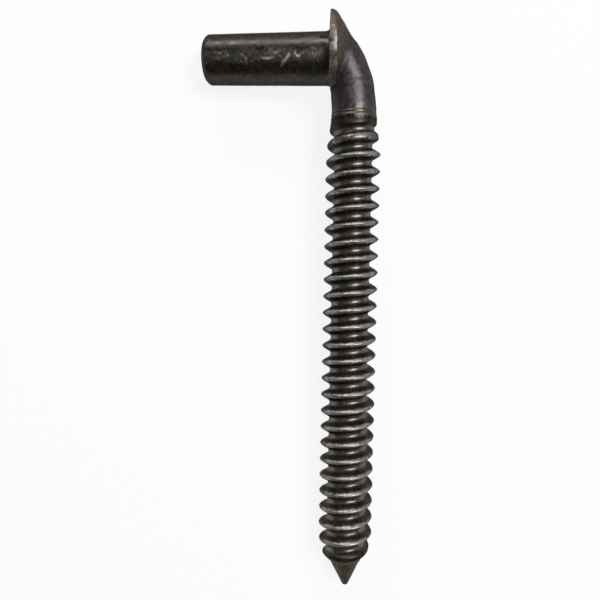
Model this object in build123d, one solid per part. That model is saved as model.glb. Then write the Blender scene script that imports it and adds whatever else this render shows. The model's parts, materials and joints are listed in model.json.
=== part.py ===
from build123d import *
import math
import os

# Lag hinge pin (screw hook for a gate): a plain pin for the gate's eye, an upset flange that
# the eye rests on, a tight bend, and a long wood-screw shank.  One forged piece of steel.
#
# It is drawn as an L: the pin runs along -X, the shank along -Y, and both axes lie in the
# XY plane.  The origin is where the pin's axis meets the flange's bearing face.  The last
# step turns the L to lie as it rests on a level surface, with +Z up.

# ---- driving sizes, millimetres and degrees ----

# pin
PIN_DIAMETER = 15.0
PIN_LENGTH = 38.3            # flange face to free end
PIN_BEVEL_LENGTH = 1.6       # bevel on the free end, along the pin
PIN_BEVEL_DEPTH = 1.9        # and across it

# flange, upset off centre, thinner towards its top edge
FLANGE_DIAMETER = 23.5
FLANGE_OFFSET = 2.4          # its centre above the pin's axis
FLANGE_RIM = 2.15            # rim thickness at the sides and below
FLANGE_TOP_RIM = 0.9         # rim thickness at the top edge
FLANGE_TOP_LEAN = 5.5        # lean of the top bevel, which thins the rim upwards
FLANGE_BACK_ANGLE = 27.0     # rise of the cone behind the rim
FLANGE_TOP_ANGLE = 25.8      # rise of the top bevel's cone above its own base

# bend, a fan of oval sections about the inside corner
INSIDE_RADIUS = 0.5
BEND_BACK_DEPTH = 15.1       # radial depth of the section behind the flange
BEND_HEEL_DEPTH = 13.4       # half way round
BEND_THROAT_DEPTH = 12.4     # where it turns into the neck
BEND_WIDTH = 14.2            # across the heel

# neck, which leans back to the shank's axis and flares to a lip
NECK_SETBACK = 0.1           # inner side of the neck behind the flange face
NECK_TOP_DIAMETER = 13.05
NECK_DIAMETER = 13.4
NECK_LIP_DIAMETER = 13.9
NECK_LIP_LENGTH = 1.8

# threaded shank, right-handed
SHANK_SETBACK = 7.36         # shank axis behind the flange face
SHANK_REACH = 162.9          # pin axis to the tip
THREAD_START = 18.4          # pin axis to the first crest, on the outer side
THREAD_PITCH = 5.08
THREAD_DIAMETER = 16.1
THREAD_ROOT_DIAMETER = 11.0
THREAD_FLANK_ANGLE = 29.5    # of each flank
THREAD_CREST_WIDTH = 0.6
THREAD_CREST_CROWN = 0.1     # height of the crest's rounding
FIRST_CREST_DIAMETER = 14.2
CREST_RISE_TURNS = 2.0       # turns until the crest is full
GROOVE_RISE_TURNS = 1.0      # turns until the groove is full
HIDDEN_TURNS = 0.25          # turns that start unseen inside the neck
RIDGE_SUNK = 0.6             # how far the ridge is sunk into the root cylinder
POINT_HALF_ANGLE = 27.0
POINT_TIP_DIAMETER = 1.3
SHOULDER_DIAMETER = 13.1     # across the last crest, where the thread breaks off
SHOULDER_SETBACK = 9.7       # of the last crest from the tip
SHOULDER_LENGTH = 7.7        # the crests taper over this length to the shoulder
SHOULDER_FALL = 2.0          # and fall off to the point over this one

MARGIN = 0.05                # keeps surfaces that merge from lying in one another

# ---- sizes that follow ----

pin_radius = PIN_DIAMETER / 2
flange_radius = FLANGE_DIAMETER / 2
crest_radius = THREAD_DIAMETER / 2
root_radius = THREAD_ROOT_DIAMETER / 2
lip_radius = NECK_LIP_DIAMETER / 2
first_crest_radius = FIRST_CREST_DIAMETER / 2
tip_radius = POINT_TIP_DIAMETER / 2
shoulder_radius = SHOULDER_DIAMETER / 2

# Heights along the shank are measured down from the pin's axis.
point_slope = math.tan(math.radians(POINT_HALF_ANGLE))
point_start = SHANK_REACH - (root_radius - tip_radius) / point_slope
shoulder_height = SHANK_REACH - SHOULDER_SETBACK
thread_end = shoulder_height + SHOULDER_FALL
full_crest_end = shoulder_height - SHOULDER_LENGTH

# The inside corner, about which the bend turns, lies just inside the pin and the neck.
corner_x = NECK_SETBACK - INSIDE_RADIUS
corner_y = -pin_radius - INSIDE_RADIUS / 2
neck_top = -corner_y
lip_start = THREAD_START - NECK_LIP_LENGTH

FROM_BASE = (Align.CENTER, Align.CENTER, Align.MIN)
SHANK = Plane(origin=(SHANK_SETBACK, 0, 0), x_dir=(1, 0, 0), z_dir=(0, -1, 0))


def facing_x(start, height=0.0):
    """A plane across +X at x = start, centred at the given height in Y."""
    return Plane(origin=(start, height, 0), x_dir=(0, 1, 0), z_dir=(1, 0, 0))


def pin():
    """The plain pin with its bevelled end, its root sunk into the flange."""
    sunk = FLANGE_RIM / 2
    body = facing_x(-PIN_LENGTH) * Cylinder(pin_radius, PIN_LENGTH + sunk, align=FROM_BASE)
    end_face = body.faces().sort_by(Axis.X)[0]
    return chamfer(end_face.edges(), PIN_BEVEL_DEPTH, PIN_BEVEL_LENGTH, reference=end_face)


def flange_cone(base, radius, rise, spread):
    """A cone that narrows from the rim circle on the base plane, and widens before it."""
    slope = math.tan(math.radians(rise))
    wide_radius = radius + spread / slope
    height = wide_radius * slope
    return base.offset(-spread) * Cone(wide_radius, 0, height, align=FROM_BASE)


def flange():
    """The upset disc: flat in front, a cone behind, and a leaning bevel that thins its top."""
    disc = facing_x(0, FLANGE_OFFSET) * Cylinder(flange_radius, flange_radius, align=FROM_BASE)
    back = flange_cone(
        facing_x(FLANGE_RIM, FLANGE_OFFSET), flange_radius, FLANGE_BACK_ANGLE, FLANGE_RIM
    )
    lean = math.radians(FLANGE_TOP_LEAN)
    rim_middle = FLANGE_TOP_RIM + flange_radius * math.tan(lean)
    leaning = Plane(
        origin=(rim_middle, FLANGE_OFFSET, 0),
        x_dir=(-math.sin(lean), math.cos(lean), 0),
        z_dir=(math.cos(lean), math.sin(lean), 0),
    )
    top_radius = flange_radius / math.cos(lean)
    top = flange_cone(leaning, top_radius, FLANGE_TOP_ANGLE, 2 * rim_middle)
    return disc & back & top


def oval(plane, depth, width):
    """An ellipse in two halves that meet at its inner and outer ends."""
    outer = Edge.make_ellipse(depth / 2, width / 2, plane, 270, 90)
    inner = Edge.make_ellipse(depth / 2, width / 2, plane, 90, 270)
    return Face(Wire([outer, inner]))


def bend_section(angle, depth, width):
    """An oval across the bend, its inner end on the inside corner's small radius."""
    turn = math.radians(angle)
    outwards = Vector(math.cos(turn), math.sin(turn), 0)
    along = Vector(math.sin(turn), -math.cos(turn), 0)
    centre = Vector(corner_x, corner_y, 0) + outwards * (INSIDE_RADIUS + depth / 2)
    return oval(Plane(origin=centre, x_dir=outwards, z_dir=along), depth, width)


def neck_section(height, diameter, lean):
    """A circle across the neck, its centre short of the shank's axis by the lean."""
    centre = Vector(SHANK_SETBACK - lean, -height, 0)
    return oval(Plane(origin=centre, x_dir=(1, 0, 0), z_dir=(0, -1, 0)), diameter, diameter)


def bend_and_neck():
    """The bend from the pin down to the neck, whose end runs on inside the flared lip."""
    hidden = PIN_DIAMETER - INSIDE_RADIUS
    bend = loft(
        [
            bend_section(90, hidden, hidden),
            bend_section(67.5, BEND_BACK_DEPTH, (hidden + BEND_WIDTH) / 2),
            bend_section(45, BEND_HEEL_DEPTH, BEND_WIDTH),
            bend_section(22.5, BEND_THROAT_DEPTH, (BEND_WIDTH + NECK_TOP_DIAMETER) / 2),
            bend_section(0, NECK_TOP_DIAMETER, NECK_TOP_DIAMETER),
        ]
    )
    lean = SHANK_SETBACK - NECK_SETBACK - NECK_TOP_DIAMETER / 2
    top = neck_section(neck_top, NECK_TOP_DIAMETER, lean)
    foot = neck_section(lip_start + NECK_LIP_LENGTH / 4, NECK_DIAMETER, 0)
    return bend + loft([top, foot])


def turned(*outline):
    """A solid turned about the shank's axis from an outline of (radius, height) points."""
    return revolve(Plane.XZ * make_face(Polyline(*outline, close=True)), Axis.Z, 360)


def shank_blank():
    """The shank without its ridge: lip, the first groove's run-out, root cylinder and point."""
    return turned(
        (0, lip_start - NECK_LIP_LENGTH / 2),
        (root_radius, lip_start - NECK_LIP_LENGTH / 2),
        (NECK_DIAMETER / 2 - MARGIN, lip_start),
        (lip_radius, THREAD_START),
        (root_radius, THREAD_START + GROOVE_RISE_TURNS * THREAD_PITCH),
        (root_radius, point_start),
        (tip_radius, SHANK_REACH),
        (0, SHANK_REACH),
    )


def crest_limit():
    """The space that the ridge's two ends keep to, clear of the full crests between them."""
    crest_rise = (crest_radius - first_crest_radius) / (CREST_RISE_TURNS * THREAD_PITCH)
    clear_radius = crest_radius + THREAD_PITCH / 4
    clear_from = THREAD_START + (clear_radius - first_crest_radius) / crest_rise
    taper = (crest_radius - shoulder_radius) / SHOULDER_LENGTH
    clear_to = shoulder_height - (clear_radius - shoulder_radius) / taper
    buried_radius = root_radius - RIDGE_SUNK - MARGIN
    inside_point = (SHANK_REACH - thread_end) * point_slope
    return turned(
        (0, lip_start - NECK_LIP_LENGTH),
        (buried_radius, lip_start - NECK_LIP_LENGTH),
        (root_radius + MARGIN, lip_start),
        (first_crest_radius, THREAD_START),
        (clear_radius, clear_from),
        (clear_radius, clear_to),
        (shoulder_radius, shoulder_height),
        (inside_point, thread_end),
        (0, SHANK_REACH),
    )


def ridge(first_turn, last_turn):
    """A length of the thread's ridge, swept along its helix and sunk into the root cylinder."""
    shoulder = crest_radius - THREAD_CREST_CROWN
    half_crest = THREAD_CREST_WIDTH / 2
    flank = math.tan(math.radians(THREAD_FLANK_ANGLE))
    inner = root_radius - RIDGE_SUNK
    half_base = half_crest + (shoulder - inner) * flank
    profile = Wire(
        [
            Edge.make_line((inner, 0, -half_base), (shoulder, 0, -half_crest)),
            Edge.make_three_point_arc(
                (shoulder, 0, -half_crest), (crest_radius, 0, 0), (shoulder, 0, half_crest)
            ),
            Edge.make_line((shoulder, 0, half_crest), (inner, 0, half_base)),
            Edge.make_line((inner, 0, half_base), (inner, 0, -half_base)),
        ]
    )
    height = (last_turn - first_turn) * THREAD_PITCH
    helix = Edge.make_helix(THREAD_PITCH, height, root_radius)
    swept = Solid.sweep(Face(profile), helix, make_solid=True, is_frenet=True)
    start = THREAD_START + first_turn * THREAD_PITCH
    return Pos(0, 0, start) * Rot(0, 0, first_turn * 360) * swept


def threaded_shank():
    """The turned blank and its ridge: full turns between ends that rise and fade."""
    full_from = math.ceil(CREST_RISE_TURNS) + 1
    full_to = math.floor((full_crest_end - THREAD_START) / THREAD_PITCH) - 1
    last_turn = math.ceil((thread_end - THREAD_START) / THREAD_PITCH) + 1
    limit = crest_limit()
    shank = shank_blank() + (ridge(-HIDDEN_TURNS, 0) & limit)
    for turn in [*range(full_from), *range(full_to, last_turn)]:
        shank += ridge(turn, turn + 1) & limit
    return SHANK * (shank + ridge(full_from, full_to))


def resting_slopes():
    """
    The slopes, along X and Y, of the level surface under the L.  It touches the flange's
    rim, the edge of the pin's bevel and the lowest full crest of the thread, each taken as
    a circle across its own axis.
    """
    pin_contact = PIN_LENGTH - PIN_BEVEL_LENGTH
    lowest_crest = THREAD_START + 0.75 * THREAD_PITCH
    whole_turns = math.floor((full_crest_end - lowest_crest) / THREAD_PITCH)
    thread_contact = lowest_crest + whole_turns * THREAD_PITCH
    along_x = 0.0
    along_y = 0.0
    for _ in range(30):
        tilt_x = math.hypot(1, along_x)
        tilt_y = math.hypot(1, along_y)
        below_origin = -flange_radius * tilt_y - along_y * FLANGE_OFFSET
        along_x = (below_origin + pin_radius * tilt_y) / pin_contact
        along_y = (
            along_x * SHANK_SETBACK + below_origin + crest_radius * tilt_x
        ) / thread_contact
    return along_x, along_y


def laid_down(shape):
    """Turn the L about the origin so that the surface it rests on is level."""
    along_x, along_y = resting_slopes()
    up = Vector(-along_x, -along_y, 1).normalized()
    north = (Vector(0, 1, 0) - up * up.Y).normalized()
    resting = Plane(origin=(0, 0, 0), x_dir=north.cross(up), z_dir=up)
    return shape.moved(resting.location.inverse())


hinge_pin = pin() + flange() + bend_and_neck() + threaded_shank()
hinge_pin = laid_down(hinge_pin)

os.makedirs("parts", exist_ok=True)
export_step(hinge_pin, "parts/hinge_pin.step")
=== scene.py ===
"""The looks of a lag hinge pin: one forged, blackened piece of steel with a cut thread."""
import json
import math

import bpy
import numpy as np
from mathutils import Matrix, Vector


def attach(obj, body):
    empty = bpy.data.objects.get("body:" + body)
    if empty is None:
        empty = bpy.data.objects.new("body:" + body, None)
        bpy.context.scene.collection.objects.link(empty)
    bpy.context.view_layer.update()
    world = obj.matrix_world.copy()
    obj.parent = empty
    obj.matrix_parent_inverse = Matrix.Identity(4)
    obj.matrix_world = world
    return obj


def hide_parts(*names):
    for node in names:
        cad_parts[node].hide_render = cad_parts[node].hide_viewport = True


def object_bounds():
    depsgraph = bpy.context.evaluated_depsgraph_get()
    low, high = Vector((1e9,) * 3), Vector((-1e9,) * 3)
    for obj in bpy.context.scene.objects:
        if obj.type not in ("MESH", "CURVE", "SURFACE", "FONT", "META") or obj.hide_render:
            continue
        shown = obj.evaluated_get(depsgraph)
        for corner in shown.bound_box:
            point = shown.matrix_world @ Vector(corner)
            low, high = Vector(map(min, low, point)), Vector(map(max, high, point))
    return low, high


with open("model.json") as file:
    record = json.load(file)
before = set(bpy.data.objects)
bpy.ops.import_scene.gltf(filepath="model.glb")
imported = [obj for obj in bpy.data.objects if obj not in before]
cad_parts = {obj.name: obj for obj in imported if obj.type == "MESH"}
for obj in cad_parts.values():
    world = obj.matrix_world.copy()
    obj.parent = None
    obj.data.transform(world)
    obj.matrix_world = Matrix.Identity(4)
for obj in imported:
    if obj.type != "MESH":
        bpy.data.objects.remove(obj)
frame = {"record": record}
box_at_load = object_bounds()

# Sizes are millimetres in the drawing frame: the pin runs along -X and the shank along -Y
# from the origin, where the pin's axis meets the flange's face.  Heights along the shank
# are measured down from the pin's axis.  Angles round the pin and the shank start at the
# outer side of the bend and turn towards +Z, which faces up.

# ---- what the frame says ----

mounts = {mount["name"]: mount for mount in frame["record"]["mounts"]}
ACROSS = -Vector(mounts["pintle"]["axis"])
ALONG = -Vector(mounts["lag_thread"]["axis"])
FACING_UP = ACROSS.cross(ALONG).normalized()
DRAWING = Matrix((ACROSS, ALONG, FACING_UP)).transposed()
MM = 0.001

PIN_RADIUS = mounts["pintle"]["dims"]["r_mm"]
thread_place = Vector(mounts["lag_thread"]["pos_m"]) / MM
SHANK_SETBACK = thread_place.dot(ACROSS)
THREAD_START = -thread_place.dot(ALONG)

# ---- sizes of the forms ----

# pin
PIN_LENGTH = 38.4
PIN_TAPER = 0.22             # gained in radius at the root and lost at the free end
BEVEL_LENGTH = 1.5
BEVEL_DEPTH = 1.55
BEVEL_BULGE = 0.25           # how far the worn bevel stands out from a straight one
END_DOME = 0.2               # how far the end face stands out at its middle
FILLET_REACH = 1.8           # fillet at the pin's root: along the pin
FILLET_RISE = 0.4            # and up the flange's face, at the sides and below
FILLET_TOP_RISE = 1.15       # and at the top

# flange
FLANGE_RADIUS = 11.75
FLANGE_OFFSET = 2.4
RIM_THICKNESS = 2.15
RIM_TOP_THICKNESS = 1.3
RIM_FRONT_ROUND = 0.22
RIM_FLAT = 1.9               # the rim's own width, before it turns into the back
RIM_TOP_FLAT = 0.3
RIM_BACK_ROUND = 0.3         # and how far in that turn reaches
RIM_CROWN = 0.08             # how far the rim bulges between its two edges
RIM_TOP_ROUND = 2.4
BACK_SLOPE = 0.51
BACK_TOP_SLOPE = 0.64
TOP_WEAR = 0.7               # lost off the flange's top edge
TOP_WEAR_FROM = 11.5         # and where the wear starts, above the pin's axis

# bend: a fan of oval sections about an inside corner, at angles of the turn
INSIDE_RADIUS = 0.5
CORNER_X = -0.6
CORNER_Y = -7.75
BEND_STATIONS = (0, 22.5, 45, 67.5, 90)
BEND_DEPTHS = (13.25, 12.6, 13.5, 15.1, 14.4)
BEND_WIDTHS = (13.05, 13.6, 14.2, 14.35, 14.5)
CREASE_REACH = 2.2           # reach of the soft crease between the flange and the bend
CREASE_PASSES = 30
CREASE_STEP = 0.6            # share of the way to the neighbours' middle, each pass

# neck, with two tool rings round it
NECK_TOP = 7.75
NECK_TOP_RADIUS = 6.625
NECK_TOP_CENTRE = 6.525
NECK_FOOT = 15.0
COLLAR_FOOT = 18.2
NECK_RADIUS = 6.72
LIP_RADIUS = 6.95
RING_HEIGHTS = (15.75, 16.75)
RING_DEPTHS = (0.09, 0.13)
RING_WIDTH = 0.28
RING_TILT = 2.0              # millimetres a turn

# thread and point
PITCH = 5.08
CREST_RADIUS = 8.32
ROOT_RADIUS = 5.6
FLANK_ANGLE = 29.5
CREST_HALF_WIDTH = 0.42
CREST_ROUND = 1.05
ROOT_ROUND = 0.7
CREST_RISE = 9.5             # height over which the crests rise to full
CREST_RISE_START = 0.6       # and where they start to, below the thread's start
GROOVE_START = 0.15          # turns before the groove shows
GROOVE_RISE_TURNS = 0.4      # turns in which what still fills it falls by a factor of e
POINT_START = 152.8
POINT_HALF_ANGLE = 25.5
TIP = 162.9
POINT_LEAN = 0.35            # how far the tip stands off the axis
POINT_LEAN_FROM = 152
SHOULDER_RADIUS = 7.1        # of the last crest, where the thread breaks off
SHOULDER = 152.2
SHOULDER_LENGTH = 5.0
SHOULDER_FALL = 3.0
SHOULDER_END_RADIUS = 4.3
TIP_ROUND = 0.3              # height of the blunt tip

REST_GAP = 0.01              # kept between the skin and the floor

# ---- mesh density ----

COLUMNS = 128                # vertices round each ring
PIN_STEP = 0.28
ARM_ROWS = 56
FLANGE_BACK_ROWS = 16
FLANGE_FACE_ROWS = 12
COLLAR_STEP = 0.13
# rows of vertices along the thread, as distances from its crest, closest at the crest
CREST_ROW_OFFSETS = (0, 0.12, 0.25, 0.4, 0.7, 1.1, 1.5, 1.85, 2.2)

turns = np.arange(COLUMNS) / COLUMNS
angles = 2 * math.pi * turns
cosines = np.cos(angles)
sines = np.sin(angles)


# ---- numbers ----

def blend(start, end, amount):
    """A value that goes from start to end as amount goes from 0 to 1."""
    return start + (end - start) * amount


def ease(low, high, value):
    """0 below low, 1 above high, smooth between."""
    amount = np.clip((value - low) / (high - low), 0, 1)
    return amount * amount * (3 - 2 * amount)


def soft_min(first, second, reach):
    """The smaller of two values, with their crossing rounded over the given reach."""
    mix = np.clip(0.5 + 0.5 * (second - first) / reach, 0, 1)
    return second + (first - second) * mix - reach * mix * (1 - mix)


def soft_max(first, second, reach):
    """The larger of two values, with their crossing rounded over the given reach."""
    return -soft_min(-first, -second, reach)


def smooth_through(stations, values, at):
    """A smooth curve through the values at their stations."""
    stations = np.asarray(stations, float)
    values = np.asarray(values, float)
    slopes = np.gradient(values, stations)
    left = np.clip(np.searchsorted(stations, at) - 1, 0, len(stations) - 2)
    span = stations[left + 1] - stations[left]
    t = (at - stations[left]) / span
    return (
        values[left] * (1 + 2 * t) * (1 - t) ** 2
        + slopes[left] * span * t * (1 - t) ** 2
        + values[left + 1] * t * t * (3 - 2 * t)
        + slopes[left + 1] * span * t * t * (t - 1)
    )


def lattice_value(cell, seed):
    """A repeatable random number from -1 to 1 for each whole-numbered cell."""
    mixed = cell[:, 0] * 73856093 ^ cell[:, 1] * 19349663 ^ cell[:, 2] * 83492791 ^ seed * 2654435761
    mixed = (mixed ^ (mixed >> 13)) * 1274126177 & 0xFFFFFFFF
    mixed = (mixed ^ (mixed >> 16)) * 668265263 & 0xFFFFFFFF
    return (mixed & 0xFFFFFF) / 0x7FFFFF - 1


def noise(points, scale, seed):
    """Smooth noise from -1 to 1 with features of the given size in millimetres."""
    place = points / scale
    base = np.floor(place).astype(np.int64)
    part = place - base
    part = part * part * (3 - 2 * part)
    total = np.zeros(len(points))
    for corner in np.ndindex(2, 2, 2):
        step = np.array(corner)
        weight = np.prod(np.where(step, part, 1 - part), axis=1)
        total += weight * lattice_value(base + step, seed)
    return total


def rough(points, scale, seed, octaves=3):
    """Noise with finer noise on it, each layer half as large and half as strong."""
    return sum(noise(points, scale / 2 ** k, seed + k) / 2 ** k for k in range(octaves))


# ---- the arm: bend and neck ----

def round_shank(height, radius, centre):
    """Points round the shank at each column, from heights, radii and centres."""
    x = centre + radius * cosines
    z = radius * sines
    return np.stack(np.broadcast_arrays(x, -height, z), axis=-1)


def arm(way):
    """
    A point in each column on the arm: way runs from -1 at the neck's foot, by 0 where the
    bend starts, to 1 where it would come level with the flange.
    """
    down = np.clip(-way, 0, 1)
    height = blend(NECK_TOP, NECK_FOOT, down)
    radius = blend(NECK_TOP_RADIUS, NECK_RADIUS, down)
    centre = blend(NECK_TOP_CENTRE, SHANK_SETBACK, down)
    neck = round_shank(height, radius, centre)
    degrees = np.clip(way, 0, 1) * 90
    depth = smooth_through(BEND_STATIONS, BEND_DEPTHS, degrees)
    width = smooth_through(BEND_STATIONS, BEND_WIDTHS, degrees)
    reach = INSIDE_RADIUS + depth / 2 * (1 + cosines)
    lean = np.radians(degrees)
    x = CORNER_X + reach * np.cos(lean)
    y = CORNER_Y + reach * np.sin(lean)
    bend = np.stack([x, y, width / 2 * sines], axis=-1)
    return np.where((way > 0)[:, None], bend, neck)


# ---- the flange ----

def rim_thickness(toward_top):
    """Thickness at the rim, where toward_top is 1 at the top and -1 at the bottom."""
    return blend(RIM_THICKNESS, RIM_TOP_THICKNESS, ease(0.1, 0.8, toward_top))


def flange_back(points):
    """How far along X the flange's back lies at each point's place across the flange."""
    y = points[:, 1] - FLANGE_OFFSET
    out = np.hypot(y, points[:, 2])
    toward_top = y / np.maximum(out, 1e-6)
    slope = blend(BACK_SLOPE, BACK_TOP_SLOPE, ease(0.0, 1.0, toward_top))
    return rim_thickness(toward_top) + slope * (FLANGE_RADIUS - out)


def inside_flange(points):
    """Positive where a point is inside the flange."""
    out = np.hypot(points[:, 1] - FLANGE_OFFSET, points[:, 2])
    return np.minimum(np.minimum(points[:, 0], FLANGE_RADIUS - out), flange_back(points) - points[:, 0])


def crease_ways():
    """How far along the arm each column runs before it enters the flange."""
    steps = np.linspace(-1, 1, 400)
    enters = np.ones(COLUMNS)
    for way in steps[::-1]:
        within = inside_flange(arm(np.full(COLUMNS, way))) > 0
        enters = np.where(within, way, enters)
    low = enters - (steps[1] - steps[0])
    high = enters
    for _ in range(20):
        middle = (low + high) / 2
        within = inside_flange(arm(middle)) > 0
        low = np.where(within, low, middle)
        high = np.where(within, middle, high)
    return high


# ---- the skin: rings of points, joined into one closed surface ----

class Skin:
    """Vertices and faces, built ring by ring from the pin's end to the tip."""

    def __init__(self):
        self.points = []
        self.zones = []
        self.count = 0
        self.faces = []
        self.last = None
        self.last_points = None
        self.zone = "pin"

    def add(self, points):
        """New vertices in the zone being built; returns their numbers."""
        numbers = self.count + np.arange(len(points))
        self.points.append(points)
        self.zones += [self.zone] * len(points)
        self.count += len(points)
        return numbers

    def stitch(self, upper, lower):
        """Faces between two rings of vertex numbers, skipping those that have shrunk."""
        self.patch(upper, np.roll(upper, -1), lower, np.roll(lower, -1))

    def patch(self, a, b, c, d):
        """Quads a-b-d-c, less their repeated corners."""
        for corners in zip(a, b, d, c):
            kept = [n for k, n in enumerate(corners) if n != corners[k - 1]]
            if len(set(kept)) > 2:
                self.faces.append(kept)

    def ring(self, points):
        """The next ring.  A vertex that hasn't moved since the last ring is shared."""
        if self.last is None:
            self.last = self.add(points)
            self.last_points = points
            return
        moved = np.linalg.norm(points - self.last_points, axis=1) > 1e-5
        numbers = self.last.copy()
        numbers[moved] = self.add(points[moved])
        self.stitch(self.last, numbers)
        self.last = numbers
        self.last_points = points


def round_pin(x, radius, rise=0.0):
    """A ring of points round the pin, its centre raised by rise."""
    y = rise + radius * cosines
    z = radius * sines
    return np.stack(np.broadcast_arrays(x, y, z), axis=-1)


def pin_radius_at(x):
    """The pin's radius: slightly thicker towards its root."""
    return PIN_RADIUS + PIN_TAPER * (1 + 2 * x / PIN_LENGTH)


def add_pin(skin):
    """The end face, the bevel, the pin and the small fillet at its root."""
    end_radius = pin_radius_at(-PIN_LENGTH) - BEVEL_DEPTH
    for share in np.linspace(0.04, 0.92, 9):
        dome = END_DOME * (1 - share * share)
        skin.ring(round_pin(-PIN_LENGTH - dome, end_radius * share))
    bevel_start = -PIN_LENGTH + BEVEL_LENGTH
    for t in np.linspace(0, 1, 9):
        x = -PIN_LENGTH + BEVEL_LENGTH * t
        bulge = BEVEL_BULGE * math.sin(math.pi * t)
        skin.ring(round_pin(x - bulge * 0.6, end_radius + BEVEL_DEPTH * t + bulge * 0.5))
    count = round((PIN_LENGTH - BEVEL_LENGTH - FILLET_REACH) / PIN_STEP)
    for x in np.linspace(bevel_start, -FILLET_REACH, count + 1)[1:]:
        skin.ring(round_pin(x, pin_radius_at(x)))
    rise = blend(FILLET_RISE, FILLET_TOP_RISE, ease(0.2, 0.9, cosines))
    for t in np.linspace(0, 1, 9)[1:]:
        sweep = t * math.pi / 2
        x = -FILLET_REACH * (1 - math.sin(sweep))
        skin.ring(round_pin(x, pin_radius_at(x) + rise * (1 - math.cos(sweep))))


def add_flange(skin, crease):
    """Face, rim and back, out from the pin's root, round the rim and in to the crease."""
    skin.zone = "face"
    root = skin.last_points
    front = round_pin(0, FLANGE_RADIUS - RIM_FRONT_ROUND, FLANGE_OFFSET)
    for t in np.linspace(0, 1, FLANGE_FACE_ROWS + 1)[1:]:
        skin.ring(blend(root, front, t))
    # what the crease leaves of each column
    crease_out = np.hypot(crease[:, 1] - FLANGE_OFFSET, crease[:, 2])
    crease_angle = np.unwrap(np.arctan2(crease[:, 2], crease[:, 1] - FLANGE_OFFSET))
    on_rim = crease_out > FLANGE_RADIUS - 0.02
    limit = np.where(on_rim, crease[:, 0], np.inf)
    thickness = rim_thickness(cosines)
    toward_top = ease(0.3, 0.9, cosines)
    flat = blend(RIM_FLAT, RIM_TOP_FLAT, toward_top)
    turn_in = blend(RIM_BACK_ROUND, RIM_TOP_ROUND, toward_top)

    def place(x, out, angle):
        held = x >= limit
        y = FLANGE_OFFSET + out * np.cos(angle)
        points = np.stack(np.broadcast_arrays(x, y, out * np.sin(angle)), axis=-1)
        return np.where(held[:, None], crease, points)

    skin.zone = "rim"
    for t in np.linspace(0, 1, 5)[1:]:
        sweep = t * math.pi / 2
        x = RIM_FRONT_ROUND * (1 - math.cos(sweep))
        out = FLANGE_RADIUS - RIM_FRONT_ROUND * (1 - math.sin(sweep))
        skin.ring(place(np.full(COLUMNS, x), out, angles))
    for t in np.linspace(0, 1, 8)[1:]:
        x = blend(RIM_FRONT_ROUND, flat, t)
        crown = RIM_CROWN * (1 - toward_top) * 4 * t * (1 - t)
        skin.ring(place(x, FLANGE_RADIUS + crown, angles))
    slope = blend(BACK_SLOPE, BACK_TOP_SLOPE, ease(0.0, 1.0, cosines))
    for t in np.linspace(0, 1, 8)[1:]:
        # a parabola tangent to the rim and to the back
        x = blend(blend(flat, thickness, t), thickness + slope * turn_in * t, t)
        out = FLANGE_RADIUS - turn_in * t * t
        skin.ring(place(x, out, angles))
    start_out = FLANGE_RADIUS - turn_in
    skin.zone = "back"
    for t in np.linspace(0, 1, FLANGE_BACK_ROWS + 1)[1:]:
        out = blend(start_out, crease_out, t)
        angle = blend(angles, np.where(on_rim, angles, crease_angle), t)
        y = FLANGE_OFFSET + out * np.cos(angle)
        z = out * np.sin(angle)
        x = flange_back(np.stack([np.zeros(COLUMNS), y, z], axis=-1))
        points = np.stack([x, y, z], axis=-1)
        if t == 1:
            points = crease
        skin.ring(np.where(on_rim[:, None], crease, points))


def add_arm(skin, ways):
    """The bend and the neck, from the crease down to the neck's foot."""
    skin.zone = "arm"
    for t in np.linspace(0, 1, ARM_ROWS + 1)[1:]:
        skin.ring(arm(blend(ways, -1.0, t)))


# ---- the threaded shank ----

def core_radius(height):
    """Radius of the blank's lower end: the root cylinder and the cone of the point."""
    slope = math.tan(math.radians(POINT_HALF_ANGLE))
    point = ROOT_RADIUS - (height - POINT_START) * slope
    return soft_min(np.full(np.shape(height), ROOT_RADIUS), point, 0.3)


def crest_limit(height):
    """The radius that the crests reach: the neck, rising to full, then falling at the point."""
    lip = blend(NECK_RADIUS, LIP_RADIUS, ease(NECK_FOOT, THREAD_START, height))
    rise = np.clip((height - THREAD_START - CREST_RISE_START) / CREST_RISE, 0, 1)
    crest = blend(lip, CREST_RADIUS, rise)
    taper = (CREST_RADIUS - SHOULDER_RADIUS) / SHOULDER_LENGTH
    crest = soft_min(crest, SHOULDER_RADIUS + (SHOULDER - height) * taper, 0.5)
    fall = (SHOULDER_RADIUS - SHOULDER_END_RADIUS) / SHOULDER_FALL
    return soft_min(crest, SHOULDER_RADIUS + (SHOULDER - height) * fall, 0.4)


def thread_radius(height, turn):
    """Radius at a height, in a column that is the given share of a turn from the outer side."""
    place = (height - THREAD_START) / PITCH - turn
    groove = np.floor(place) + 0.5
    off_groove = np.abs(place - groove) * PITCH
    depth_turns = np.maximum(groove + turn - GROOVE_START, 0)
    fading = (LIP_RADIUS - ROOT_RADIUS + 0.05) * np.exp(-depth_turns / GROOVE_RISE_TURNS)
    fading = np.where(groove + turn < GROOVE_START, 9.0, fading)
    root = core_radius(height) + fading
    cotangent = 1 / math.tan(math.radians(FLANK_ANGLE))
    root_half = PITCH / 2 - CREST_HALF_WIDTH - (CREST_RADIUS - ROOT_RADIUS) / cotangent
    flank = soft_max(root, root + (off_groove - root_half) * cotangent, ROOT_ROUND)
    ridge = soft_min(crest_limit(height), flank, CREST_ROUND)
    return soft_max(ridge, core_radius(height), 0.3)


def add_collar(skin):
    """The last of the neck, on level rings close enough for its tool marks."""
    skin.zone = "collar"
    for height in np.arange(NECK_FOOT, COLLAR_FOOT + 0.01, COLLAR_STEP)[1:]:
        radius = thread_radius(np.full(COLUMNS, height), turns)
        skin.ring(round_shank(height, radius, SHANK_SETBACK))
    return height


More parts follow.
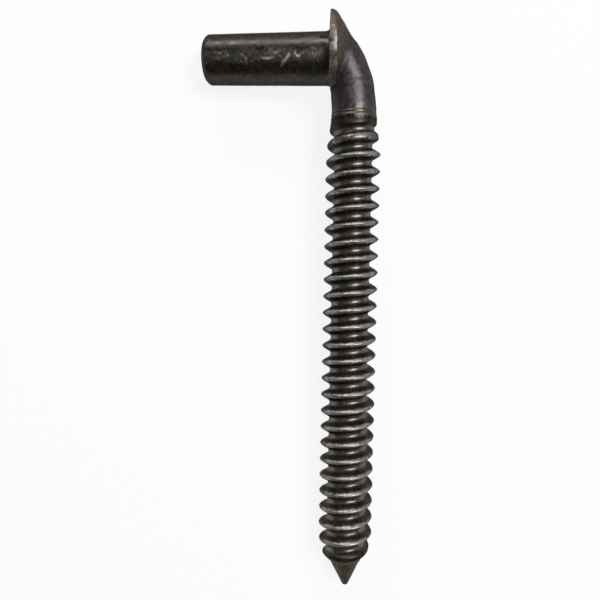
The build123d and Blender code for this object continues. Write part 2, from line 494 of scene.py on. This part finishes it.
def add_thread(skin, top):
    """The thread on a grid that follows the helix, between two level rings."""
    bottom = THREAD_START + math.ceil((POINT_START + 3 - THREAD_START) / PITCH) * PITCH - 1.5
    top_ring = skin.last
    skin.zone = "thread"
    bottom_radius = thread_radius(np.full(COLUMNS, bottom), turns)
    bottom_points = round_shank(bottom, bottom_radius, SHANK_SETBACK)
    bottom_ring = skin.add(bottom_points)
    offsets = np.array(CREST_ROW_OFFSETS)
    phases = np.sort(np.concatenate([offsets, PITCH - offsets[1:]]))
    per_turn = len(phases)
    turn_count = math.ceil((bottom - THREAD_START) / PITCH) + 4
    rows = (np.arange(-2, turn_count)[:, None] * PITCH + phases).ravel()
    heights = THREAD_START + rows[:, None] + PITCH * turns
    clear = 0.03
    above = heights <= top + clear
    below = heights >= bottom - clear
    free = ~(above | below)
    radius = thread_radius(heights, np.broadcast_to(turns, heights.shape))
    x = SHANK_SETBACK + radius * cosines
    z = radius * sines
    points = np.stack([x, -heights, z], axis=-1)
    numbers = np.where(above, top_ring, bottom_ring)
    numbers[free] = skin.add(points[free])
    for column in range(COLUMNS):
        if column < COLUMNS - 1:
            here = numbers[:, column]
            there = numbers[:, column + 1]
        else:
            here = numbers[:-per_turn, column]
            there = numbers[per_turn:, 0]
        skin.patch(here[:-1], there[:-1], here[1:], there[1:])
    skin.last = bottom_ring
    skin.last_points = bottom_points
    return bottom


def add_point(skin, start):
    """The cone below the thread and its blunt tip."""
    skin.zone = "point"
    for t in np.linspace(0, 1, 14)[1:]:
        height = blend(start, TIP - TIP_ROUND, t)
        skin.ring(round_shank(height, core_radius(height), SHANK_SETBACK))
    last = float(core_radius(TIP - TIP_ROUND))
    skin.ring(round_shank(TIP - 0.08, last * 0.75, SHANK_SETBACK))
    skin.ring(round_shank(TIP, last * 0.35, SHANK_SETBACK))


def build_skin():
    """The whole piece as one closed skin: its points, its faces and each point's zone."""
    skin = Skin()
    add_pin(skin)
    first = np.arange(COLUMNS)
    ways = crease_ways()
    crease = arm(ways)
    add_flange(skin, crease)
    add_arm(skin, ways)
    collar_foot = add_collar(skin)
    bottom = add_thread(skin, collar_foot)
    add_point(skin, bottom)
    skin.faces.append(list(first[::-1]))
    skin.faces.append(list(skin.last))
    return np.concatenate(skin.points), skin.faces, np.array(skin.zones)


points, faces, zones = build_skin()


# ---- wear and tool marks, as small moves along the surface's normal ----

def in_zone(*names):
    """1 for each point in one of the named zones, and 0 elsewhere."""
    return np.isin(zones, names).astype(float)


def normals_of(points, faces):
    """Outward normals at the vertices, from the faces around each."""
    total = np.zeros_like(points)
    for corners in (3, 4):
        group = np.array([face for face in faces if len(face) == corners])
        a, b, c, d = (points[group[:, k]] for k in (0, 1, 2, corners - 1))
        facing = np.cross(c - a, d - b) if corners == 4 else np.cross(b - a, c - a)
        for k in range(corners):
            np.add.at(total, group[:, k], facing)
    return total / np.maximum(np.linalg.norm(total, axis=1), 1e-12)[:, None]


def soften(points, faces, weight, passes):
    """Relax the points towards their neighbours where weight says so."""
    pairs = np.array([(face[k - 1], face[k]) for face in faces if len(face) < 5 for k in range(len(face))])
    touched = (weight[pairs[:, 0]] > 0) | (weight[pairs[:, 1]] > 0)
    first, second = pairs[touched].T
    share = np.bincount(first, minlength=len(points)) + np.bincount(second, minlength=len(points))
    for _ in range(passes):
        total = np.zeros_like(points)
        np.add.at(total, first, points[second])
        np.add.at(total, second, points[first])
        middle = total / np.maximum(share, 1)[:, None]
        points = points + (weight * CREASE_STEP)[:, None] * (middle - points)
    return points


# Unevenness of each zone in millimetres: size and depth of the coarse part, then of the
# fine part, and the seed.
UNEVENNESS = {
    "pin": (7.0, 0.03, 1.4, 0.015, 11),
    "face": (4.0, 0.05, 1.0, 0.02, 21),
    "back": (4.0, 0.05, 1.0, 0.02, 21),
    "rim": (1.8, 0.04, 0.6, 0.01, 31),
    "arm": (4.0, 0.06, 1.2, 0.025, 41),
    "collar": (4.0, 0.06, 1.0, 0.015, 41),
    "thread": (1.9, 0.015, 0.9, 0.004, 61),
    "point": (2.5, 0.03, 0.8, 0.006, 71),
}
RIM_CHIP_SIZE = 1.7
RIM_CHIP_DEPTH = 0.12
CREST_SPAN = (6.6, 8.0)      # radii over which a point comes to be on a crest
CREST_WAVER = 0.05
CREST_NICK_DEPTH = 0.07

# Scuffs on the upper side of the pin, in millimetres along it and degrees round it.
SCUFF_SEED = 5
SCUFF_COUNT = 24
SCUFF_SPAN = (-37, -4)
SCUFF_BAND = (88, 116)
SCUFF_LENGTHS = (0.6, 2.4)
SCUFF_HALF_WIDTHS = (0.2, 0.4)
SCUFF_STRENGTHS = (0.25, 0.7)
SCUFF_DEPTH = 0.13
# the three deepest: place along, degrees round, length, lean from the pin's axis, half width
DEEP_SCUFFS = ((-18, 105, 3, 0, 0.5), (-13, 110, 4, -50, 0.6), (-9, 100, 1, 0, 0.6))
DEGREE_ARC = PIN_RADIUS * math.radians(1)
SCUFF_RAGGEDNESS = 0.22
HANDLED_MIDDLE = 97          # the handled strip along the pin, in degrees round it
HANDLED_SPREAD = 19


def scuff_stroke(along, degrees, length, lean, half_width, strength):
    """A stroke on the pin rolled out flat: its middle, half of its run, its width and strength."""
    lean = math.radians(lean)
    half_run = length / 2 * np.array([math.cos(lean), math.sin(lean)])
    return np.array([along, degrees * DEGREE_ARC]), half_run, half_width, strength


def scuff_strokes():
    """The deep scuffs, then smaller ones scattered at random over the handled band."""
    strokes = [scuff_stroke(*deep, 1.0) for deep in DEEP_SCUFFS]
    chance = np.random.default_rng(SCUFF_SEED)
    for _ in range(SCUFF_COUNT):
        along = chance.uniform(*SCUFF_SPAN)
        degrees = chance.uniform(*SCUFF_BAND)
        length = chance.uniform(*SCUFF_LENGTHS)
        lean = chance.uniform(-90, 90)
        half_width = chance.uniform(*SCUFF_HALF_WIDTHS)
        strength = chance.uniform(*SCUFF_STRENGTHS)
        strokes.append(scuff_stroke(along, degrees, length, lean, half_width, strength))
    return strokes


def scuff_share(points):
    """How deep each point of the pin lies in a scuff, from 0 to 1."""
    degrees = np.degrees(np.arctan2(points[:, 2], points[:, 1]))
    flat = np.stack([points[:, 0], degrees * DEGREE_ARC], axis=-1)
    flat += SCUFF_RAGGEDNESS * np.stack([noise(points, 0.9, 81), noise(points, 0.9, 82)], axis=-1)
    share = np.zeros(len(points))
    for middle, half_run, half_width, strength in scuff_strokes():
        along = np.clip((flat - middle) @ half_run / (half_run @ half_run), -1, 1)
        gap = np.linalg.norm(flat - middle - along[:, None] * half_run, axis=1)
        share = np.maximum(share, strength * (1 - ease(0.2, 1.1, gap / half_width)))
    return share * in_zone("pin")


flange_top = in_zone("face", "rim", "back") * ease(TOP_WEAR_FROM, FLANGE_OFFSET + FLANGE_RADIUS, points[:, 1])
points[:, 1] -= TOP_WEAR * flange_top
points[:, 0] += POINT_LEAN * ease(POINT_LEAN_FROM, TIP, -points[:, 1])

crease_line = arm(crease_ways())
to_crease = np.full(len(points), np.inf)
for spot in crease_line:
    to_crease = np.minimum(to_crease, np.linalg.norm(points - spot, axis=1))
near_crease = in_zone("arm", "back") * (1 - ease(0.2, CREASE_REACH, to_crease))
points = soften(points, faces, near_crease, CREASE_PASSES)

shank_out = np.hypot(points[:, 0] - SHANK_SETBACK, points[:, 2])
shank_down = -points[:, 1]
shank_turn = np.arctan2(points[:, 2], points[:, 0] - SHANK_SETBACK) / (2 * math.pi)
crest_share = in_zone("thread") * ease(*CREST_SPAN, shank_out)

scuffs = scuff_share(points)
pin_turn = np.degrees(np.arctan2(points[:, 2], points[:, 1]))
handled = in_zone("pin") * np.exp(-((pin_turn - HANDLED_MIDDLE) / HANDLED_SPREAD) ** 2)
handled = handled * ease(-0.6, 0.3, noise(points, 4.0, 83))

push = -SCUFF_DEPTH * scuffs
for name, (coarse, coarse_depth, fine, fine_depth, seed) in UNEVENNESS.items():
    swell = coarse_depth * rough(points, coarse, seed) + fine_depth * rough(points, fine, seed + 5)
    push += in_zone(name) * swell
push -= in_zone("rim") * RIM_CHIP_DEPTH * ease(0.4, 0.8, noise(points * (0.25, 1, 1), RIM_CHIP_SIZE, 32))
push += crest_share * CREST_WAVER * noise(points, 2.8, 51)
push -= crest_share * CREST_NICK_DEPTH * ease(0.5, 0.9, noise(points, 2.6, 52))
for height, depth in zip(RING_HEIGHTS, RING_DEPTHS):
    level = height + RING_TILT * np.abs(shank_turn)
    push -= in_zone("collar", "arm") * depth * np.exp(-((shank_down - level) / RING_WIDTH) ** 2)
points = points + normals_of(points, faces) * push[:, None]

mesh = bpy.data.meshes.new("lag_hinge_pin")
world_points = points @ np.array(DRAWING).T * MM
# wear and roughness stop just above the floor, where the piece rests
world_points[:, 2] = np.maximum(world_points[:, 2], box_at_load[0][2] + REST_GAP * MM)
mesh.from_pydata(world_points.tolist(), [], faces)
mesh.validate()
mesh.update()
piece = bpy.data.objects.new("lag_hinge_pin", mesh)
bpy.context.scene.collection.objects.link(piece)
mesh.polygons.foreach_set("use_smooth", [True] * len(mesh.polygons))

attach(piece, "root")
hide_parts("hinge_pin")

# ---- where the surface is bare, and its tints, with some painted shade and light ----

CREST_BARE_DEPTHS = (0.35, 0.95)   # bare down to the first, scale from the second, below a crest
FIRST_CREST = (20.5, 23)           # heights over which the crests' wear comes and goes
EARLY_CRESTS = (23, 29)
LAST_CREST = (147, 149.5)
CREST_END = (150.5, 152.5)
CREST_BARENESS = 0.7
RIM_BARENESS = 0.45
SCUFF_BARENESS = 0.9

rim_bare = in_zone("rim") * (1 - ease(1.0, 1.6, points[:, 0] - 1.1 * (1 - ease(3.0, 6.0, points[:, 1]))))
rim_bare *= ease(-9.0, -4.0, points[:, 1]) * (1 - 0.7 * ease(6.5, 9.5, points[:, 1]))
rim_bare *= 1 + 0.35 * (1 - ease(0.0, 4.0, points[:, 1]))
# scale is left in notches right across the rim
rim_bare *= 1 - 0.7 * ease(0.1, 0.6, noise(points * (0.2, 1, 1), 1.2, 34))
# the crests are bare near their tops; the first and the last are less worn
below_crest = crest_limit(shank_down) - shank_out
crest_bare_and_shade = in_zone("thread") * (1 - ease(*CREST_BARE_DEPTHS, below_crest))
crest_bare_and_shade = crest_bare_and_shade * ease(*FIRST_CREST, shank_down)
crest_bare_and_shade *= (0.72 + 0.28 * ease(*EARLY_CRESTS, shank_down)) * (1 - 0.75 * ease(*LAST_CREST, shank_down))
crest_bare_and_shade *= 1 - ease(*CREST_END, shank_down)
# painted shade: the crests are left less bare, and so darker, towards the shank's sides and underside, and a
# little past its top
crest_bare_and_shade *= 1 - 0.12 * ease(0.21, 0.31, shank_turn + 0.02 * noise(points, 3.0, 85))
crest_bare_and_shade *= 1 - 0.45 * (1 - ease(0.03, 0.15, shank_turn)) - 0.35 * ease(0.36, 0.45, shank_turn)
bare_and_shade = CREST_BARENESS * crest_bare_and_shade + RIM_BARENESS * rim_bare + SCUFF_BARENESS * scuffs

PIN_TINT = (0.053, 0.048, 0.045)
BACK_TINT = (0.122, 0.102, 0.090)
ARM_TINT = (0.088, 0.080, 0.091)
COLLAR_TINT = (0.104, 0.097, 0.090)
COLLAR_DULLNESS = 0.40
COLLAR_FADE = 1.5            # height over which the arm's finish turns into the collar's
ROOT_TINT = (0.178, 0.166, 0.158)
FLANK_TINT = (0.051, 0.045, 0.042)
POINT_TINT = (0.135, 0.112, 0.092)
POINT_DULLNESS = 0.45
PIN_DULLNESS_SWING = 0.10
CREST_DULLNESS_GAIN = 0.10   # bare crests are worn smooth but not polished
TICKS_TOP = 17.8             # the band of short dark scratches at the collar's foot
TICKS_FOOT = 19.3
TICKS_EDGE = 0.3
TICKS_STRENGTH = 0.8
UPPER_STRIP_RISE = (84, 94)       # the strip along the pin's upper side, in degrees round it
UPPER_STRIP_FALL = (106, 118)
UPPER_STRIP_PAINTED_LIGHT = 0.4
UPPER_STRIP_WEAR_DULLER = 0.14
CREASE_PAINTED_SHADE = 0.2
CREASE_DULLER = 0.12
ROOT_SPAN = (5.9, 6.6)       # within the first radius a point is in the thread's root
# the tint and the dullness of each zone
FINISHES = {
    "pin": (PIN_TINT, 0.36),
    "face": (PIN_TINT, 0.45),
    "rim": (BACK_TINT, 0.58),
    "back": (BACK_TINT, 0.5),
    "arm": (ARM_TINT, 0.48),
    "collar": (ARM_TINT, 0.48),
    "thread": (FLANK_TINT, 0.40),
    "point": (POINT_TINT, POINT_DULLNESS),
}
tint = np.ones((len(points), 4))
dullness = np.zeros(len(points))
for name, (colour, zone_dullness) in FINISHES.items():
    tint[zones == name, :3] = colour
    dullness[zones == name] = zone_dullness


def store(name, kind, values):
    """Keeps a value for each vertex under a name that the material reads."""
    attribute = mesh.attributes.new(name, kind, "POINT")
    field = {"FLOAT": "value", "FLOAT_COLOR": "color", "FLOAT_VECTOR": "vector"}[kind]
    attribute.data.foreach_set(field, np.ascontiguousarray(values, np.float32).ravel())


ragged_turn = pin_turn + 5 * noise(points, 2.5, 84)
upper_strip_light_and_wear = in_zone("pin") * ease(*UPPER_STRIP_RISE, pin_turn) * (1 - ease(*UPPER_STRIP_FALL, ragged_turn))
# painted light: the tint is lightened along the pin's upper side; the strip is also made duller, from wear
tint[:, :3] *= 1 + UPPER_STRIP_PAINTED_LIGHT * upper_strip_light_and_wear[:, None]
dullness += UPPER_STRIP_WEAR_DULLER * upper_strip_light_and_wear
dullness += CREST_DULLNESS_GAIN * crest_bare_and_shade
collared = in_zone("arm", "collar") * ease(NECK_FOOT - COLLAR_FADE, NECK_FOOT + COLLAR_FADE, shank_down)
tint[:, :3] += collared[:, None] * (np.array(COLLAR_TINT) - tint[:, :3])
dullness += collared * (COLLAR_DULLNESS - dullness)
dullness += CREASE_DULLER * near_crease
# painted shade: the tint is darkened along the crease between the flange and the bend
tint[:, :3] *= 1 - CREASE_PAINTED_SHADE * near_crease[:, None]
# the pin's shine comes and goes
dullness += in_zone("pin") * PIN_DULLNESS_SWING * rough(points, 2.2, 86)
in_root = in_zone("thread") * (1 - ease(*ROOT_SPAN, shank_out))
tint[:, :3] += in_root[:, None] * (np.array(ROOT_TINT) - tint[:, :3])
# the cone's finish starts below the last crest, wherever the mesh's zones meet
on_cone = in_zone("thread", "point") * ease(POINT_START, POINT_START + 2, shank_down)
tint[:, :3] += on_cone[:, None] * (np.array(POINT_TINT) - tint[:, :3])
dullness += on_cone * (POINT_DULLNESS - dullness)

ticks = in_zone("collar", "thread") * ease(TICKS_TOP, TICKS_TOP + TICKS_EDGE, shank_down)
ticks *= TICKS_STRENGTH * (1 - ease(TICKS_FOOT - TICKS_EDGE, TICKS_FOOT, shank_down))

store("bare_and_shade", "FLOAT", bare_and_shade)
store("handled", "FLOAT", handled)
store("ticks", "FLOAT", ticks)
store("tint", "FLOAT_COLOR", tint)
store("dullness", "FLOAT", dullness)
store("place", "FLOAT_VECTOR", points)


# ---- material ----

class Graph:
    """A material's nodes, added and joined by name."""

    def __init__(self, name):
        self.material = bpy.data.materials.new(name)
        self.material.use_nodes = True
        self.tree = self.material.node_tree
        self.shader = self.tree.nodes["Principled BSDF"]

    def node(self, kind, inputs=None, **settings):
        """A new node with its settings, and with values or other nodes' outputs fed in."""
        node = self.tree.nodes.new("ShaderNode" + kind)
        for key, value in settings.items():
            setattr(node, key, value)
        for key, value in (inputs or {}).items():
            self.feed(node.inputs[key], value)
        return node

    def feed(self, socket, value):
        """Joins an output to the socket, or sets the socket's own value."""
        if isinstance(value, bpy.types.NodeSocket):
            self.tree.links.new(value, socket)
        else:
            socket.default_value = value

    def attribute(self, name, output="Fac"):
        """What store kept for each vertex."""
        return self.node("Attribute", attribute_name=name).outputs[output]

    def noise(self, place, scale, detail=3.0, roughness=0.55):
        inputs = {"Vector": place, "Scale": scale, "Detail": detail, "Roughness": roughness}
        return self.node("TexNoise", inputs).outputs["Fac"]

    def math(self, operation, first, second=0.0, third=0.0):
        return self.node("Math", {0: first, 1: second, 2: third}, operation=operation).outputs[0]

    def remap(self, value, low, high, to_low=0.0, to_high=1.0):
        node = self.node(
            "MapRange",
            {"Value": value, "From Min": low, "From Max": high, "To Min": to_low, "To Max": to_high},
            interpolation_type="SMOOTHSTEP",
        )
        return node.outputs["Result"]

    def mix(self, amount, first, second, blend_type="MIX"):
        """Two colours mixed; the numbered sockets are the colour ones."""
        node = self.node("Mix", data_type="RGBA", blend_type=blend_type)
        self.feed(node.inputs[0], amount)
        self.feed(node.inputs[6], first)
        self.feed(node.inputs[7], second)
        return node.outputs[2]

    def multiply(self, first, second):
        return self.mix(1.0, first, second, "MULTIPLY")


SHADE_DARK = (0.72, 0.72, 0.72, 1)     # the scale's patches multiply its tint by these
SHADE_LIGHT = (1.3, 1.28, 1.26, 1)
HUE_BROWN = (1.05, 0.98, 0.96, 1)
HUE_GREEN = (0.96, 1.0, 0.97, 1)
TICK_COLOUR = (0.015, 0.012, 0.010, 1)
METAL_DARK = (0.25, 0.239, 0.226, 1)
METAL_LIGHT = (0.56, 0.543, 0.52, 1)
EDGE_TINT = (0.36, 0.35, 0.335, 1)     # what the steel reflects at grazing angles
CURL_WIDTH = 0.045
BARE_FROM = 0.75
BARE_TO = 1.3
BUMP_STRENGTH = 0.6
BUMP_DEPTH = 0.00003                   # metres

steel = Graph("blackened_steel")
place = steel.attribute("place", "Vector")
cloud = steel.noise(place, 0.2)
patch = steel.noise(place, 0.9)
grain = steel.noise(place, 2.4)
# fine curled scratches, where the surface has been handled
curl = steel.math("ABSOLUTE", steel.math("SUBTRACT", steel.noise(place, 0.8, 2.0), 0.5))
scratch = steel.math("MULTIPLY", steel.remap(curl, CURL_WIDTH, 0.0), steel.attribute("handled"))
# the bare metal, with the crests' painted shade carried in it
bare_and_shade_now = steel.math("MULTIPLY_ADD", patch, 0.8, steel.attribute("bare_and_shade"))
bare_and_shade_now = steel.math("MULTIPLY_ADD", grain, 0.2, bare_and_shade_now)
bare_and_shade_now = steel.math("MULTIPLY_ADD", scratch, 0.75, bare_and_shade_now)
bare_and_shade_now = steel.remap(bare_and_shade_now, BARE_FROM, BARE_TO)
shade = steel.mix(steel.remap(patch, 0.3, 0.7), SHADE_DARK, SHADE_LIGHT)
scale_colour = steel.multiply(steel.attribute("tint", "Color"), shade)
hue = steel.mix(steel.remap(cloud, 0.35, 0.65), HUE_BROWN, HUE_GREEN)
scale_colour = steel.multiply(scale_colour, hue)
# short dark scratches along the shank at the collar's foot
along_shank = steel.node("VectorMath", {0: place, 1: (1.0, 0.12, 1.0)}, operation="MULTIPLY").outputs[0]
tick = steel.remap(steel.noise(along_shank, 2.0, 1.0), 0.52, 0.60)
tick = steel.math("MULTIPLY", tick, steel.attribute("ticks"))
scale_colour = steel.mix(tick, scale_colour, TICK_COLOUR)
metal_colour = steel.mix(grain, METAL_DARK, METAL_LIGHT)
steel.feed(steel.shader.inputs["Base Color"], steel.mix(bare_and_shade_now, scale_colour, metal_colour))
steel.feed(steel.shader.inputs["Metallic"], steel.math("MULTIPLY_ADD", bare_and_shade_now, 0.1, 0.9))
uneven = steel.math("MULTIPLY_ADD", patch, 0.3, -0.15)
roughness = steel.math("ADD", steel.attribute("dullness"), uneven)
roughness = steel.math("MULTIPLY_ADD", bare_and_shade_now, -0.06, roughness)
steel.feed(steel.shader.inputs["Roughness"], roughness)
steel.shader.inputs["Specular Tint"].default_value = EDGE_TINT
relief = steel.math("MULTIPLY_ADD", scratch, -0.8, grain)
bump = steel.node("Bump", {"Strength": BUMP_STRENGTH, "Distance": BUMP_DEPTH, "Height": relief})
steel.feed(steel.shader.inputs["Normal"], bump.outputs[0])
mesh.materials.append(steel.material)

# ---- camera ----

CAMERA_PLACE = (7.58, -62.1, 181.33)
CAMERA_TURN = (3.465, -4.922, -1.292)   # tilt, pan and roll in degrees
CAMERA_LENS = 35.24
CAMERA_NEAR = 0.01                      # metres

camera = bpy.data.objects.new("camera", bpy.data.cameras.new("camera"))
camera.data.lens = CAMERA_LENS
camera.data.clip_start = CAMERA_NEAR
tilt, pan, roll = (math.radians(angle) for angle in CAMERA_TURN)
view = Matrix.Rotation(roll, 3, "Z") @ Matrix.Rotation(pan, 3, "Y") @ Matrix.Rotation(tilt, 3, "X")
camera.matrix_world = (DRAWING @ view.transposed()).to_4x4()
camera.location = DRAWING @ Vector(CAMERA_PLACE) * MM
bpy.context.scene.collection.objects.link(camera)
bpy.context.scene.camera = camera

# ---- floor ----

WHITE_SHARE = 0.88           # how much of the paper shows as plain white, beside its lit colour
PAPER_COLOUR = (0.85, 0.85, 0.85, 1)
PAPER_DULLNESS = 0.9
HALF_FLOOR = 2.0             # metres

floor_mesh = bpy.data.meshes.new("floor")
level = box_at_load[0][2]
corners = [(x * HALF_FLOOR, y * HALF_FLOOR, level) for x, y in ((-1, -1), (1, -1), (1, 1), (-1, 1))]
floor_mesh.from_pydata(corners, [], [(0, 1, 2, 3)])
floor = bpy.data.objects.new("floor", floor_mesh)
bpy.context.scene.collection.objects.link(floor)
paper = bpy.data.materials.new("white_paper")
paper.use_nodes = True
paper_nodes = paper.node_tree.nodes
paper_nodes["Principled BSDF"].inputs["Base Color"].default_value = PAPER_COLOUR
paper_nodes["Principled BSDF"].inputs["Roughness"].default_value = PAPER_DULLNESS
rays = paper_nodes.new("ShaderNodeLightPath")
glow = paper_nodes.new("ShaderNodeEmission")
glow.inputs["Strength"].default_value = 1.0
links = paper.node_tree.links
share = None
for output in ("Is Camera Ray", "Is Glossy Ray", "Is Transmission Ray"):
    part = paper_nodes.new("ShaderNodeMath")
    part.operation = "MULTIPLY_ADD"
    part.inputs[1].default_value = WHITE_SHARE
    part.inputs[2].default_value = 0.0
    links.new(rays.outputs[output], part.inputs[0])
    if share:
        links.new(share, part.inputs[2])
    share = part.outputs[0]
mixer = paper_nodes.new("ShaderNodeMixShader")
links.new(share, mixer.inputs[0])
links.new(paper_nodes["Principled BSDF"].outputs[0], mixer.inputs[1])
links.new(glow.outputs[0], mixer.inputs[2])
links.new(mixer.outputs[0], paper_nodes["Material Output"].inputs["Surface"])
floor_mesh.materials.append(paper)

# ---- light ----

WORLD_STRENGTH = 0.1

world = bpy.data.worlds.new("studio")
bpy.context.scene.world = world
world.use_nodes = True
world.node_tree.nodes["Background"].inputs["Color"].default_value = (1, 1, 1, 1)
world.node_tree.nodes["Background"].inputs["Strength"].default_value = WORLD_STRENGTH


def softbox(name, place, aim, size, power):
    """A rectangular lamp at a place in the drawing, turned to face its aim; power in watts."""
    data = bpy.data.lights.new(name, "AREA")
    data.shape = "RECTANGLE"
    data.size, data.size_y = (value * MM for value in size)
    data.energy = power
    lamp = bpy.data.objects.new(name, data)
    start = DRAWING @ Vector(place) * MM
    target = DRAWING @ Vector(aim) * MM
    lamp.location = start
    lamp.rotation_euler = (target - start).to_track_quat("-Z", "Y").to_euler()
    bpy.context.scene.collection.objects.link(lamp)


softbox("key", place=(505, 140, 850), aim=(5, -60, 0), size=(420, 420), power=8.5)
softbox("window", place=(-150, 800, 390), aim=(-15, 0, 0), size=(700, 200), power=4.2)

bpy.context.scene.view_settings.view_transform = "Standard"
